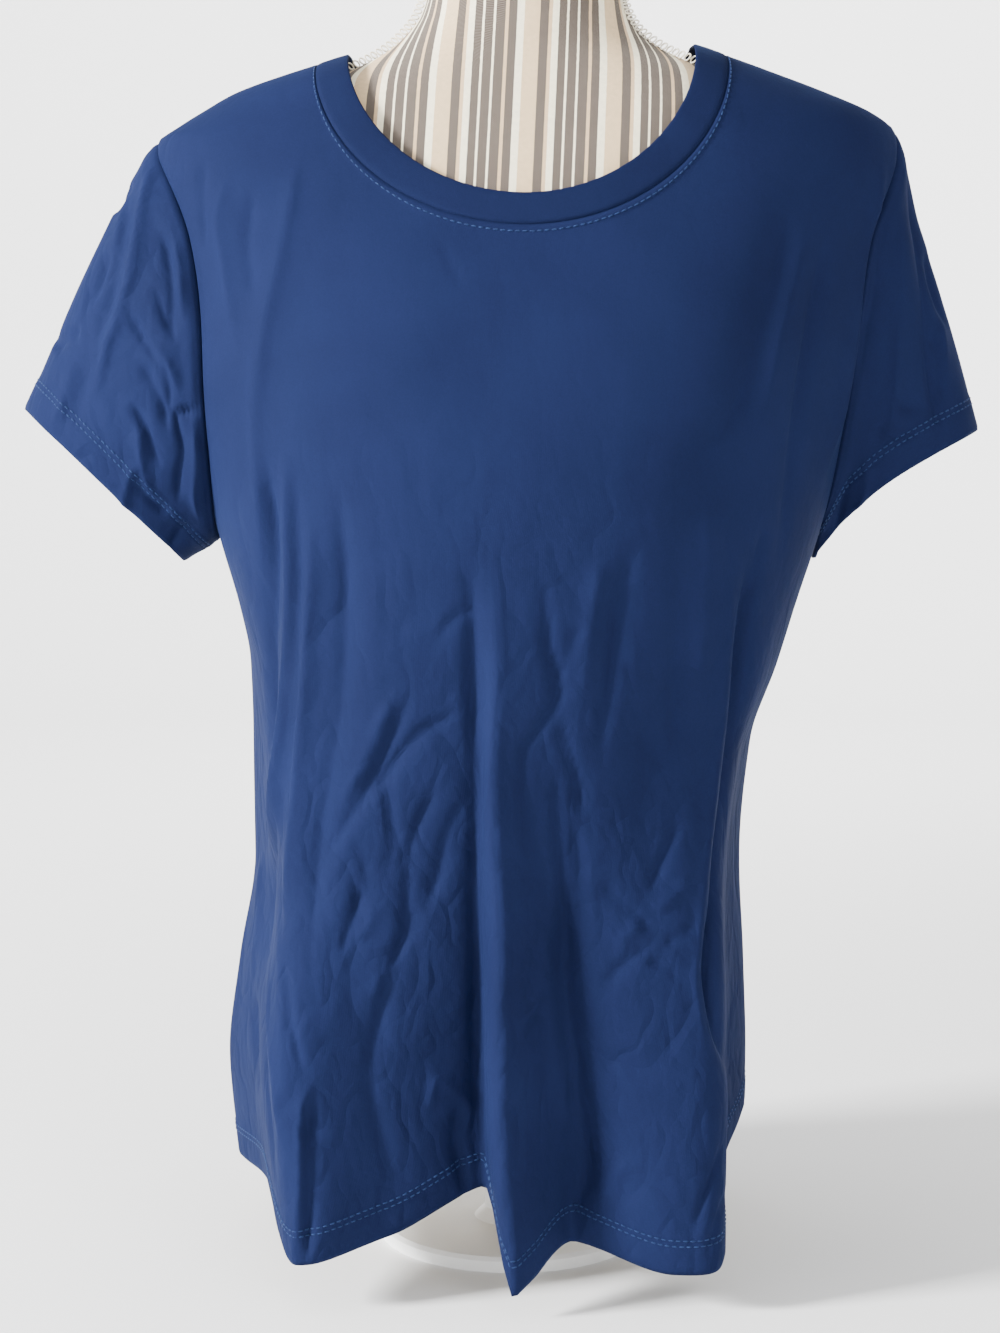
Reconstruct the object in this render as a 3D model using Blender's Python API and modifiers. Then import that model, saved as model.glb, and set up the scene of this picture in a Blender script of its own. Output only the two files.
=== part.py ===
"""A crew neck t-shirt standing on a limbless dress form.

Metres, +Z up. The origin is the middle of the form's base, on the floor, and the shirt's front faces -Y.
Left and right are the wearer's: the left sleeve is at +X. Each sewn piece is its own wall of cloth.
"""

import math

import bpy

MM = 0.001

# Walls and gaps
CLOTH_WALL = 1.6 * MM
BAND_WALL = 2.2 * MM
SIDE_GAP = 0.35 * MM  # each panel stands this far back from the seam between front and back
BAND_GAP = 0.5 * MM
SLEEVE_GAP = 0.9 * MM

# Shape shared by every section of the body
SQUARE = 2.3  # 2 is an ellipse, more is squarer
NECK_ACROSS = 0.64  # where the shoulder seam ends and the neckline begins, from 0 in the middle to 1
LEAN = 1.5 * MM  # the neckline sits this far to the wearer's left

# Mesh steps
FOLD_STEPS = 4  # columns between two fold lines of the front
BACK_STEPS = 3
HEM_ROWS = 14  # rows from the hem to the underarm
CHEST_ROWS = 11  # rows from the underarm to the shoulder
SLEEVE_ROWS = 8
BAND_ROWS = 3
FORM_AROUND = 32


def table(columns, rows):
    """Rows of sizes in millimetres as a list of dictionaries in metres. "across" has no unit."""
    names = columns.split()
    units = [1 if name == "across" else MM for name in names]
    return [dict(zip(names, (value * unit for value, unit in zip(row, units)))) for row in rows]


# The smooth shirt, without its folds. "right" and "left" are where the sides are, and "front" and
# "back" how deep the cloth is. Above 590 the sides run up the shoulder seams to the neck.
BODY = table(
    "height right left front back",
    [
        (40, -154, 131, 127, 117),
        (103, -159, 132, 127, 116),
        (160, -152, 130, 127, 113),
        (217, -143, 127, 127, 108),
        (279, -143, 132, 128, 105),
        (323, -144, 146, 130, 105),
        (356, -150, 155, 131, 107),
        (395, -160, 167, 131, 110),
        (430, -167, 176, 130, 113),
        (470, -175, 185, 124, 115),
        (510, -181, 193, 113, 114),
        (550, -188, 201, 100, 107),
        (590, -195, 211, 86, 95),
        (604, -190, 208, 81, 88),
        (611, -180, 204, 79, 85),
        (619, -167, 193, 76, 80.5),
        (628, -151, 172, 72.5, 76),
        (636.5, -128, 149, 69, 71.5),
        (644.5, -102, 127, 65.5, 67),
        (650, -86, 110, 63, 64.5),
        (656, -72, 94, 60.5, 62),
    ],
)

# The dress form, always inside the shirt.
FORM = table(
    "height right left front back",
    [
        (52, -112, 106, 70, 92),
        (60, -122, 112, 78, 98),
        (110, -128, 114, 86, 102),
        (217, -115, 104, 88, 90),
        (279, -118, 110, 96, 92),
        (330, -130, 130, 114, 98),
        (392, -151, 157, 126, 104),
        (430, -157, 166, 125, 108),
        (470, -163, 172, 119, 110),
        (510, -168, 180, 108, 109),
        (550, -174, 187, 95, 102),
        (576, -176, 190, 85, 92),
        (590, -176, 193, 80, 87),
        (600, -173, 191, 75.5, 82.5),
        (606, -166, 187, 73, 79.5),
        (614, -155, 177, 70, 75),
        (623, -139, 156, 66.5, 70.5),
        (631.5, -116, 133, 63, 66),
        (639.5, -91, 111, 59.5, 61.5),
        (645, -78, 96, 57, 59),
        (650, -69, 85, 55, 57),
        (659, -58, 72, 53, 54),
        (669, -50, 65, 51, 51),
        (680, -46, 61, 49, 48),
        (699.7, -44, 58, 47, 45),
    ],
)

# Where each piece's edges lie.
SHOULDER = {"right": 604 * MM, "left": 611 * MM}
UNDERARM = {"right": 392 * MM, "left": 399 * MM}
ARMHOLE_DEPTH = {
    "right": {"front": 57 * MM, "back": 60 * MM},
    "left": {"front": 46 * MM, "back": 60 * MM},
}
NECK_SEAM = {"right": 644 * MM, "left": 649 * MM, "front": 554 * MM, "back": 628 * MM}
BAND_EDGE = {"right": 649.5 * MM, "left": 655 * MM, "front": 569.5 * MM, "back": 640 * MM}

# The folds, as lines that run down the cloth from the wearer's right seam to the left one. "across" is
# the line's place at the underarm, from -1 at one seam to 1 at the other, "start" is the height
# where the fold begins, and x, y and z are where it meets the hem.
FRONT_FOLDS = table(
    "across x y z start",
    [
        (-1, -154, 0, 44, 395),  # right seam
        (-0.84, -133, -60, 47, 395),  # right side
        (-0.64, -112, -132, 26, 330),  # right corner
        (-0.35, -64, -122, 37, 300),  # right flap
        (-0.07, -15, -105, 58, 385),  # centre valley
        (-0.03, 0, -145, 13, 395),  # centre fold
        (0.09, 31, -121, 33, 290),  # left valley
        (0.3, 82, -138, 22, 300),  # left flap
        (0.64, 109, -124, 25, 395),  # left corner
        (0.84, 112, -60, 48, 395),  # left side
        (1, 131, 0, 72, 395),  # left seam
    ],
)
BACK_FOLDS = table(
    "across x y z start",
    [
        (-1, -154, 0, 44, 395),
        (-0.8, -141, 74, 46, 395),
        (-0.64, -112, 112, 48, 360),
        (-0.32, -66, 97, 56, 330),
        (-0.06, -12, 123, 50, 370),
        (0.22, 46, 101, 60, 330),
        (0.64, 88, 112, 54, 360),
        (0.8, 124, 66, 60, 395),
        (1, 131, 0, 72, 395),
    ],
)

# Each cuff is a ring: its middle, the way to its top, the way to its front, and how its lowest part
# sags. "bulge" is how far the sleeve's cap stands out on the way down.
CUFFS = {
    "right": {
        "middle": (-224, 2, 419.5),
        "top": (-43, 0, 41.5),
        "front": (9, -40, -2),
        "sag": (0, 0, 0),
        "bulge": 7,
    },
    "left": {
        "middle": (214, 4, 427),
        "top": (41, -1, 22.5),
        "front": (1, -38, 4),
        "sag": (-6, 12, -26),
        "bulge": 1,
    },
}

# The form's foot is a disc with a post, both turned round one axis, and its neck has an oval cap.
FOOT = {"radius": 74 * MM, "thick": 8 * MM, "post": 15 * MM, "top": 51.7 * MM}
CAP = {"x": 7 * MM, "y": -1 * MM, "half_x": 55 * MM, "half_y": 50 * MM, "low": 700 * MM, "high": 711 * MM}

NAVY = (0.016, 0.04, 0.135, 1)
LINEN = (0.62, 0.55, 0.43, 1)
WOOD = (0.30, 0.17, 0.08, 1)
WHITE = (0.8, 0.8, 0.79, 1)


def smooth(fraction):
    fraction = min(max(fraction, 0.0), 1.0)
    return fraction * fraction * (3 - 2 * fraction)


def curve(places, values, place):
    """A curve through the values that never overshoots them, with flat tops where they turn."""
    last = len(places) - 2
    i = max(0, min(last, sum(p <= place for p in places) - 1))
    gaps = [places[k + 1] - places[k] for k in range(last + 1)]
    slopes = [(values[k + 1] - values[k]) / gaps[k] for k in range(last + 1)]

    def tangent(k):
        if k in (0, last + 1):
            return slopes[min(k, last)]
        before, after = slopes[k - 1], slopes[k]
        if before * after <= 0:
            return 0.0
        heavy = 2 * gaps[k] + gaps[k - 1]
        light = gaps[k] + 2 * gaps[k - 1]
        return (heavy + light) / (heavy / before + light / after)

    t = (place - places[i]) / gaps[i]
    rise = values[i + 1] - values[i]
    start = tangent(i) * gaps[i]
    end = tangent(i + 1) * gaps[i]
    return values[i] + t * start + t * t * (3 * rise - 2 * start - end) + t**3 * (start + end - 2 * rise)


def size_at(sizes, column, height):
    return curve([row["height"] for row in sizes], [row[column] for row in sizes], height)


def section_point(sizes, face, angle, height):
    """A point of the section at this height. The angle is 0 in the middle and a right angle at a side."""
    right = size_at(sizes, "right", height)
    left = size_at(sizes, "left", height)
    depth = size_at(sizes, face, height)
    reach = math.copysign(abs(math.sin(angle)) ** (2 / SQUARE), angle)
    sink = abs(math.cos(angle)) ** (2 / SQUARE)
    forward = -1 if face == "front" else 1
    return ((right + left) / 2 + (left - right) / 2 * reach, forward * depth * sink, height)


def side_of(across):
    return "left" if across > 0 else "right"


def blend(sides, across):
    """A size that goes evenly from the wearer's right to the left."""
    return sides["right"] + (sides["left"] - sides["right"]) * (across + 1) / 2


def armhole_edge(side, face, rise):
    """The angle and height of an armhole's edge. rise is 0 at the underarm and 1 at the shoulder."""
    height = UNDERARM[side] + (SHOULDER[side] - UNDERARM[side]) * (1 - math.cos(math.pi * rise)) / 2
    away = ARMHOLE_DEPTH[side][face] * math.sin(math.pi * rise) ** 0.9
    depth = size_at(BODY, face, height)
    return math.acos(min(1.0, (away / depth) ** (SQUARE / 2))), height


def point_at(face, x, height):
    """The point of the smooth shirt that lies this far across at this height."""
    right = size_at(BODY, "right", height)
    left = size_at(BODY, "left", height)
    reach = (x - (right + left) / 2) / ((left - right) / 2)
    angle = math.copysign(math.asin(min(1.0, abs(reach)) ** (SQUARE / 2)), reach)
    return section_point(BODY, face, angle, height)


def neckline(loop, face, across):
    """How far across and how high a line round the neck is. across is 0 in the middle and 1 at the shoulder."""
    side = side_of(across)
    turn = abs(across) * math.pi / 2
    right = size_at(BODY, "right", loop["right"])
    left = size_at(BODY, "left", loop["left"])
    x = (right + left) / 2 + math.copysign((left - right) / 2 * math.sin(turn), across)
    return x + LEAN * math.cos(turn), loop[face] + (loop[side] - loop[face]) * (1 - math.cos(turn))


def chest_point(face, across, rise):
    """A point of a panel above the underarm. rise is 0 at the underarm and 1 at the shoulder or the neck."""
    side = side_of(across)
    climb = (1 - math.cos(math.pi * rise)) / 2
    edge_angle, edge_height = armhole_edge(side, face, rise)
    edge = section_point(BODY, face, math.copysign(edge_angle, across), edge_height)
    if abs(across) == 1:
        return edge
    bottom = blend(UNDERARM, across)
    bottom_x = section_point(BODY, face, across * math.pi / 2, bottom)[0]
    if abs(across) >= NECK_ACROSS:
        along = (1 - abs(across)) / (1 - NECK_ACROSS)
        top = SHOULDER[side] + (NECK_SEAM[side] - SHOULDER[side]) * along
        top_x = size_at(BODY, side, top)
    else:
        top_x, top = neckline(NECK_SEAM, face, across / NECK_ACROSS)
    underarm_x = size_at(BODY, side, UNDERARM[side])
    shoulder_x = size_at(BODY, side, SHOULDER[side])
    hollow = edge[0] - (underarm_x + (shoulder_x - underarm_x) * climb)
    x = bottom_x + (top_x - bottom_x) * climb + hollow * abs(across) ** 3
    return point_at(face, x, bottom + (top - bottom) * climb)


def hem_point(face, folds, across, place, drop):
    """A point of a panel below the underarm. drop is 0 at the underarm and 1 at the hem."""
    order = list(range(len(folds)))

    def between(values):
        return curve(order, values, place)

    bottom = blend(UNDERARM, across)
    hem = between([fold["z"] for fold in folds])
    height = bottom + (hem - bottom) * drop
    shifts = []
    for fold in folds:
        start_x, start_y, _ = section_point(BODY, face, fold["across"] * math.pi / 2, fold["z"])
        grown = smooth((fold["start"] - height) / (fold["start"] - fold["z"])) ** 0.8
        shifts.append(((fold["x"] - start_x) * grown, (fold["y"] - start_y) * grown))
    x, y, _ = section_point(BODY, face, across * math.pi / 2, height)
    return (
        x + between([shift[0] for shift in shifts]),
        y + between([shift[1] for shift in shifts]),
        height,
    )


def panel_columns(folds, steps):
    """Where each column of a panel lies: its place across, from -1 to 1, and its place among the folds."""
    order = list(range(len(folds)))
    acrosses = [fold["across"] for fold in folds]
    return [(curve(order, acrosses, i / steps), i / steps) for i in range((len(folds) - 1) * steps + 1)]


def panel_points(face, folds, steps):
    """Rows of points of the front or the back, from the hem up, each from the right side to the left."""
    columns = panel_columns(folds, steps)
    rows = []
    for row in range(HEM_ROWS):
        rows.append([hem_point(face, folds, across, place, 1 - row / HEM_ROWS) for across, place in columns])
    for row in range(CHEST_ROWS + 1):
        rows.append([chest_point(face, across, row / CHEST_ROWS) for across, _ in columns])
    return rows


def sleeve_points(side):
    """Rings of points from the armhole to the cuff, each from the top round by the front."""
    cuff = CUFFS[side]
    around = 2 * CHEST_ROWS
    armhole = []
    for i in range(around):
        face = "front" if i <= CHEST_ROWS else "back"
        rise = abs(1 - i / CHEST_ROWS)
        angle, height = armhole_edge(side, face, rise)
        across = 1 if side == "left" else -1
        armhole.append(section_point(BODY, face, across * angle, height))
    rings = []
    for row in range(SLEEVE_ROWS + 1):
        down = row / SLEEVE_ROWS
        ring = []
        for i in range(around):
            turn = 2 * math.pi * i / around
            lowness = ((1 - math.cos(turn)) / 2) ** 6
            end = [
                (m + t * math.cos(turn) + f * math.sin(turn) + s * lowness) * MM
                for m, t, f, s in zip(cuff["middle"], cuff["top"], cuff["front"], cuff["sag"])
            ]
            start = armhole[i]
            length = math.dist(start, end)
            along = (SLEEVE_GAP + (length - SLEEVE_GAP) * down) / length
            ring.append([a + (b - a) * along for a, b in zip(start, end)])
        centre = [sum(point[k] for point in ring) / around for k in range(3)]
        stand = cuff["bulge"] * MM * 6.75 * down * (1 - down) ** 2
        for i, point in enumerate(ring):
            reach = math.dist(point, centre)
            share = (1 + math.cos(2 * math.pi * i / around)) / 2
            for k in range(3):
                point[k] += (point[k] - centre[k]) / reach * stand * share
        rings.append([tuple(point) for point in ring])
    return rings


def band_points():
    """Rings of points of the neckband, from its seam to its free edge."""
    across = [place / NECK_ACROSS for place, _ in panel_columns(FRONT_FOLDS, FOLD_STEPS)]
    stops = [("front", place) for place in across if abs(place) <= 1]
    across = [place / NECK_ACROSS for place, _ in panel_columns(BACK_FOLDS, BACK_STEPS)]
    stops += [("back", place) for place in reversed(across) if abs(place) < 1 - MM]
    rings = []
    for row in range(BAND_ROWS + 1):
        up = row / BAND_ROWS
        ring = []
        for face, place in stops:
            seam = point_at(face, *neckline(NECK_SEAM, face, place))
            edge = point_at(face, *neckline(BAND_EDGE, face, place))
            width = math.dist(seam, edge)
            along = (BAND_GAP + (width - BAND_GAP) * up) / width
            ring.append(tuple(a + (b - a) * along for a, b in zip(seam, edge)))
        rings.append(ring)
    return rings


def form_points():
    """Rings of points of the dress form, from its foot to the top of its neck."""
    rings = []
    for row in FORM:
        ring = []
        for i in range(FORM_AROUND):
            turn = 2 * math.pi * i / FORM_AROUND
            face = "front" if math.cos(turn) >= 0 else "back"
            angle = math.asin(max(-1.0, min(1.0, math.sin(turn))))
            ring.append(section_point(FORM, face, angle, row["height"]))
        rings.append(ring)
    return rings


def material(name, colour, roughness):
    made = bpy.data.materials.new(name)
    made.use_nodes = True
    shader = made.node_tree.nodes["Principled BSDF"]
    shader.inputs["Base Color"].default_value = colour
    shader.inputs["Roughness"].default_value = roughness
    shader.inputs["Metallic"].default_value = 0.0
    return made


def surface(name, rows, ring, capped=False):
    """An object whose faces join row to row. A ring closes on itself, and a capped one is a solid."""
    across = len(rows[0])
    points = [point for row in rows for point in row]
    faces = []
    for r in range(len(rows) - 1):
        for i in range(across if ring else across - 1):
            j = (i + 1) % across
            faces.append((r * across + i, r * across + j, (r + 1) * across + j, (r + 1) * across + i))
    if capped:
        faces.append(tuple(reversed(range(across))))
        faces.append(tuple(range((len(rows) - 1) * across, len(rows) * across)))
    mesh = bpy.data.meshes.new(name)
    mesh.from_pydata(points, [], faces)
    mesh.update()
    mesh.shade_smooth()
    mesh.set_sharp_from_angle(angle=math.radians(60))
    return bpy.data.objects.new(name, mesh)


def cloth(name, rows, ring, thickness, colour_material, collection, parent):
    """A wall of cloth: the rows are its outer face, and its thickness goes inwards."""
    piece = surface(name, rows, ring)
    wall = piece.modifiers.new("wall", "SOLIDIFY")
    wall.thickness = thickness
    wall.offset = -1
    finish(piece, colour_material, collection, parent)
    return piece


def finish(piece, colour_material, collection, parent):
    piece.data.materials.append(colour_material)
    piece.parent = parent
    collection.objects.link(piece)


def neck_cap(colour_material, collection, parent):
    """A flat oval slab with rounded edges."""
    bpy.ops.mesh.primitive_cylinder_add(vertices=32, radius=1, depth=1)
    slab = bpy.context.object
    slab.name = "form_neck_cap"
    for corner in slab.data.vertices:
        corner.co.x *= CAP["half_x"]
        corner.co.y *= CAP["half_y"]
        corner.co.z *= CAP["high"] - CAP["low"]
    slab.location = (CAP["x"], CAP["y"], (CAP["low"] + CAP["high"]) / 2)
    edge = slab.modifiers.new("edge", "BEVEL")
    edge.width = 2 * MM
    edge.segments = 2
    edge.limit_method = "ANGLE"
    slab.data.shade_smooth()
    slab.data.set_sharp_from_angle(angle=math.radians(40))
    bpy.context.scene.collection.objects.unlink(slab)
    finish(slab, colour_material, collection, parent)


def foot(colour_material, collection, parent):
    """The turned foot: a disc on the floor with a post up to the torso."""
    rim = 2 * MM
    profile = [
        (0, FOOT["top"]),
        (FOOT["post"], FOOT["top"]),
        (FOOT["post"], FOOT["thick"] + 3 * rim),
        (FOOT["post"] + 3 * rim, FOOT["thick"]),
        (FOOT["radius"] - rim, FOOT["thick"]),
        (FOOT["radius"], FOOT["thick"] - rim),
        (FOOT["radius"], 0),
        (0, 0),
    ]
    mesh = bpy.data.meshes.new("form_foot")
    edges = [(i, i + 1) for i in range(len(profile) - 1)]
    mesh.from_pydata([(across, 0, height) for across, height in profile], edges, [])
    turned = bpy.data.objects.new("form_foot", mesh)
    screw = turned.modifiers.new("turn", "SCREW")
    screw.steps = 40
    screw.render_steps = 40
    screw.use_merge_vertices = True
    screw.merge_threshold = 0.00005
    finish(turned, colour_material, collection, parent)


def clear_scene():
    for old in list(bpy.data.objects):
        bpy.data.objects.remove(old, do_unlink=True)
    for old in list(bpy.data.collections):
        bpy.data.collections.remove(old)


def main():
    clear_scene()
    collection = bpy.data.collections.new("t_shirt_on_dress_form")
    bpy.context.scene.collection.children.link(collection)
    shirt = bpy.data.objects.new("t_shirt", None)
    form = bpy.data.objects.new("dress_form", None)
    collection.objects.link(shirt)
    collection.objects.link(form)

    navy = material("navy_jersey", NAVY, 0.8)
    linen = material("striped_linen", LINEN, 0.85)
    wood = material("wood", WOOD, 0.5)
    white = material("white_foot", WHITE, 0.5)

    front = panel_points("front", FRONT_FOLDS, FOLD_STEPS)
    back = panel_points("back", BACK_FOLDS, BACK_STEPS)
    front = [[(x, y - SIDE_GAP, z) for x, y, z in row] for row in front]
    back = [[(x, y + SIDE_GAP, z) for x, y, z in reversed(row)] for row in back]
    cloth("front", front, False, CLOTH_WALL, navy, collection, shirt)
    cloth("back", back, False, CLOTH_WALL, navy, collection, shirt)
    for side in ("right", "left"):
        rings = sleeve_points(side)
        if side == "right":
            rings = [ring[::-1] for ring in rings]
        cloth("sleeve_" + side, rings, True, CLOTH_WALL, navy, collection, shirt)
    cloth("neckband", band_points(), True, BAND_WALL, navy, collection, shirt)

    torso = surface("form_torso", form_points(), True, capped=True)
    finish(torso, linen, collection, form)
    foot(white, collection, form)
    neck_cap(wood, collection, form)


main()
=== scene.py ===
import math

import bpy
import numpy as np
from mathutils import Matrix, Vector, noise


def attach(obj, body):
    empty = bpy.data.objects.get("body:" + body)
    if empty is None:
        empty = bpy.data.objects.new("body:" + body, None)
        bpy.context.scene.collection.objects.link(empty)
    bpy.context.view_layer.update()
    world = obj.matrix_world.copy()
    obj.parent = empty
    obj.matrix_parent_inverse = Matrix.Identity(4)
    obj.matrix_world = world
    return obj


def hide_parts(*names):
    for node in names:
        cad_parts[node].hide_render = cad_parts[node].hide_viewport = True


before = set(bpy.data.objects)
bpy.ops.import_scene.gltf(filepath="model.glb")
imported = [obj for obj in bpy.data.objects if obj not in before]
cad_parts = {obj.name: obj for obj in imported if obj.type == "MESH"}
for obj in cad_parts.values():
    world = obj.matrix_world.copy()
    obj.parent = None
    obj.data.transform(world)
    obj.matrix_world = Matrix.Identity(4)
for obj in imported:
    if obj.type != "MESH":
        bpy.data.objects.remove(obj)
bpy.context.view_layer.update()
mm = 0.001

# What every piece of the shirt shares. The smooth body is a stack of rounded sections: how far it
# reaches to the wearer's right (-X) and left (+X), and how deep it is at the front and the back.
shirt = {
    "square": 2.3,  # 2 is an ellipse, more is squarer
    "neckAcross": 0.64,  # where the shoulder seam ends and the neckline begins
    "middle": 5 * mm,  # how far the body's middle is to the wearer's left
    "lean": 1.5 * mm,  # and how much further the neckline's lowest point is
    "clothThick": 0.9 * mm,
    "hemDeep": 18 * mm,
    "rowGap": 3 * mm,  # between the two needle rows of a hem
    "shoulder": {"right": 604 * mm, "left": 611 * mm},
    "underarm": {"right": 392 * mm, "left": 399 * mm},
    "armholeDeep": {
        "right": {"front": 57 * mm, "back": 60 * mm},
        "left": {"front": 46 * mm, "back": 60 * mm},
    },
    "neckSeam": {"right": 644 * mm, "left": 649 * mm, "front": 554 * mm, "back": 628 * mm},
    "bandEdge": {"right": 649.5 * mm, "left": 655 * mm, "front": 569.5 * mm, "back": 640 * mm},
    "chestRows": 88,
    "hemRows": 148,
    "sleeveRows": 72,
}


def table(columns, rows):
    found = np.array(rows, float).T
    return {name: values * (1 if name == "across" else mm) for name, values in zip(columns.split(), found)}


bodySections = table(
    "height right left front back",
    [
        (40, -154, 131, 127, 117),
        (103, -159, 132, 127, 116),
        (160, -152, 130, 127, 113),
        (217, -143, 127, 127, 108),
        (279, -143, 132, 128, 105),
        (323, -144, 146, 130, 105),
        (356, -150, 155, 131, 107),
        (395, -160, 167, 131, 110),
        (430, -167, 176, 130, 113),
        (470, -175, 185, 124, 115),
        (510, -181, 193, 113, 114),
        (550, -188, 201, 100, 107),
        (590, -195, 211, 86, 95),
        (604, -190, 208, 81, 88),
        (611, -180, 204, 79, 85),
        (619, -167, 193, 76, 80.5),
        (628, -151, 172, 72.5, 76),
        (636.5, -128, 149, 69, 71.5),
        (644.5, -102, 127, 65.5, 67),
        (650, -86, 110, 63, 64.5),
        (656, -72, 94, 60.5, 62),
    ],
)

# The big folds run down from the underarm to the hem: their place across, where each meets the hem,
# and the height it starts at.
frontFolds = table(
    "across x y z start",
    [
        (-1, -154, 0, 44, 395),  # right seam
        (-0.84, -133, -60, 47, 395),
        (-0.64, -112, -132, 26, 330),  # right corner
        (-0.35, -64, -122, 37, 300),
        (-0.07, -15, -105, 58, 385),  # centre valley
        (-0.03, 0, -145, 13, 395),  # centre fold
        (0.09, 31, -121, 33, 290),  # left valley
        (0.3, 82, -138, 22, 300),
        (0.64, 109, -124, 25, 395),  # left corner
        (0.84, 112, -60, 48, 395),
        (1, 131, 0, 72, 395),  # left seam
    ],
)
backFolds = table(
    "across x y z start",
    [
        (-1, -154, 0, 44, 395),
        (-0.8, -141, 74, 46, 395),
        (-0.64, -112, 112, 48, 360),
        (-0.32, -66, 97, 56, 330),
        (-0.06, -12, 123, 50, 370),
        (0.22, 46, 101, 60, 330),
        (0.64, 88, 112, 54, 360),
        (0.8, 124, 66, 60, 395),
        (1, 131, 0, 72, 395),
    ],
)


def smooth(part):
    part = np.clip(part, 0, 1)
    return part * part * (3 - 2 * part)


def curve(places, values, at):
    # Goes through the values, never past them. values may hold one column for each place asked for.
    places, values, at = np.asarray(places, float), np.asarray(values, float), np.asarray(at, float)
    gaps = np.diff(places).reshape(-1, *[1] * (values.ndim - 1))
    slopes = np.diff(values, axis=0) / gaps
    before, after = slopes[:-1], slopes[1:]
    heavy = 2 * gaps[1:] + gaps[:-1]
    light = gaps[1:] + 2 * gaps[:-1]
    turning = before * after <= 0
    safeBefore, safeAfter = np.where(turning, 1, before), np.where(turning, 1, after)
    middle = np.where(turning, 0, (heavy + light) / (heavy / safeBefore + light / safeAfter))
    tangents = np.concatenate([slopes[:1], middle, slopes[-1:]])
    i = np.clip(np.searchsorted(places, at, side="right") - 1, 0, len(places) - 2)

    def pick(rows, k):
        return rows[k] if rows.ndim == 1 else np.take_along_axis(rows, k[None], 0)[0]

    gap = places[i + 1] - places[i]
    t = (at - places[i]) / gap
    low, high = pick(values, i), pick(values, i + 1)
    start, end = pick(tangents, i) * gap, pick(tangents, i + 1) * gap
    rise = high - low
    return low + t * start + t**2 * (3 * rise - 2 * start - end) + t**3 * (start + end - 2 * rise)


def sizeAt(sections, column, height):
    return curve(sections["height"], sections[column], height)


def sectionPoint(sections, face, angle, height):
    right, left = sizeAt(sections, "right", height), sizeAt(sections, "left", height)
    power = 2 / shirt["square"]
    reach = np.sign(angle) * np.abs(np.sin(angle)) ** power
    sink = np.abs(np.cos(angle)) ** power
    forward = -1 if face == "front" else 1
    y = forward * sizeAt(sections, face, height) * sink
    return np.stack([(right + left) / 2 + (left - right) / 2 * reach, y, height + 0 * reach], -1)


def pointAt(face, x, height):
    # The point of the smooth body this far across at this height.
    right, left = sizeAt(bodySections, "right", height), sizeAt(bodySections, "left", height)
    reach = np.clip((x - (right + left) / 2) / ((left - right) / 2), -1, 1)
    angle = np.sign(reach) * np.arcsin(np.abs(reach) ** (shirt["square"] / 2))
    return sectionPoint(bodySections, face, angle, height)


def bySide(sides, across):
    return np.where(across > 0, sides["left"], sides["right"])


def blendSides(sides, across):
    return sides["right"] + (sides["left"] - sides["right"]) * (across + 1) / 2


def armholeEdge(face, across, climb):
    # climb is 0 at the underarm and 1 at the shoulder
    low, high = bySide(shirt["underarm"], across), bySide(shirt["shoulder"], across)
    height = low + (high - low) * climb
    deep = {side: shirt["armholeDeep"][side][face] for side in ("right", "left")}
    away = bySide(deep, across) * (2 * np.sqrt(climb * (1 - climb))) ** 0.9
    angle = np.arccos(np.clip(away / sizeAt(bodySections, face, height), 0, 1) ** (shirt["square"] / 2))
    return np.sign(across) * angle, height


def neckline(loop, face, across):
    # A line round the neck: across is 0 in the middle and 1 at the shoulder.
    turn = np.abs(across) * math.pi / 2
    right = sizeAt(bodySections, "right", np.array([loop["right"]]))
    left = sizeAt(bodySections, "left", np.array([loop["left"]]))
    x = (right + left) / 2 + np.sign(across) * (left - right) / 2 * np.sin(turn)
    height = loop[face] + (bySide(loop, across) - loop[face]) * (1 - np.cos(turn))
    return x + shirt["lean"] * np.cos(turn), height


def chestPoint(face, across, climb):
    edgeAngle, edgeHeight = armholeEdge(face, np.where(across == 0, 1, across), climb)
    edge = sectionPoint(bodySections, face, edgeAngle, edgeHeight)
    bottom = blendSides(shirt["underarm"], across)
    bottomX = sectionPoint(bodySections, face, across * math.pi / 2, bottom)[..., 0]
    along = np.clip((1 - np.abs(across)) / (1 - shirt["neckAcross"]), 0, 1)
    shoulder, seam = bySide(shirt["shoulder"], across), bySide(shirt["neckSeam"], across)
    seamTop = shoulder + (seam - shoulder) * along
    seamX = np.where(across > 0, *(sizeAt(bodySections, way, seamTop) for way in ("left", "right")))
    neckX, neckTop = neckline(shirt["neckSeam"], face, np.clip(across / shirt["neckAcross"], -1, 1))
    onSeam = np.abs(across) >= shirt["neckAcross"]
    topX, top = np.where(onSeam, seamX, neckX), np.where(onSeam, seamTop, neckTop)
    underarm = bySide(shirt["underarm"], across)
    lowX, highX = (
        np.where(across > 0, *(sizeAt(bodySections, way, level) for way in ("left", "right")))
        for level in (underarm, shoulder)
    )
    hollow = edge[..., 0] - (lowX + (highX - lowX) * climb)
    x = bottomX + (topX - bottomX) * climb + hollow * np.abs(across) ** 3
    inside = pointAt(face, x, bottom + (top - bottom) * climb)
    return np.where((np.abs(across) > 0.99999)[..., None], edge, inside)


def hemPoint(face, folds, across, place, drop):
    order = np.arange(len(folds["across"]))
    bottom = blendSides(shirt["underarm"], across)
    height = bottom + (curve(order, folds["z"], place) - bottom) * drop
    start = sectionPoint(bodySections, face, folds["across"] * math.pi / 2, folds["z"])
    span = (folds["start"] - folds["z"])[:, None]
    flat = height.ravel()
    grown = smooth((folds["start"][:, None] - flat[None]) / span) ** 0.8
    point = sectionPoint(bodySections, face, across * math.pi / 2, height)
    for axis, name in enumerate("xy"):
        shifts = (folds[name] - start[:, axis])[:, None] * grown
        point[..., axis] += curve(order, shifts, place.ravel()).reshape(height.shape)
    return point


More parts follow.
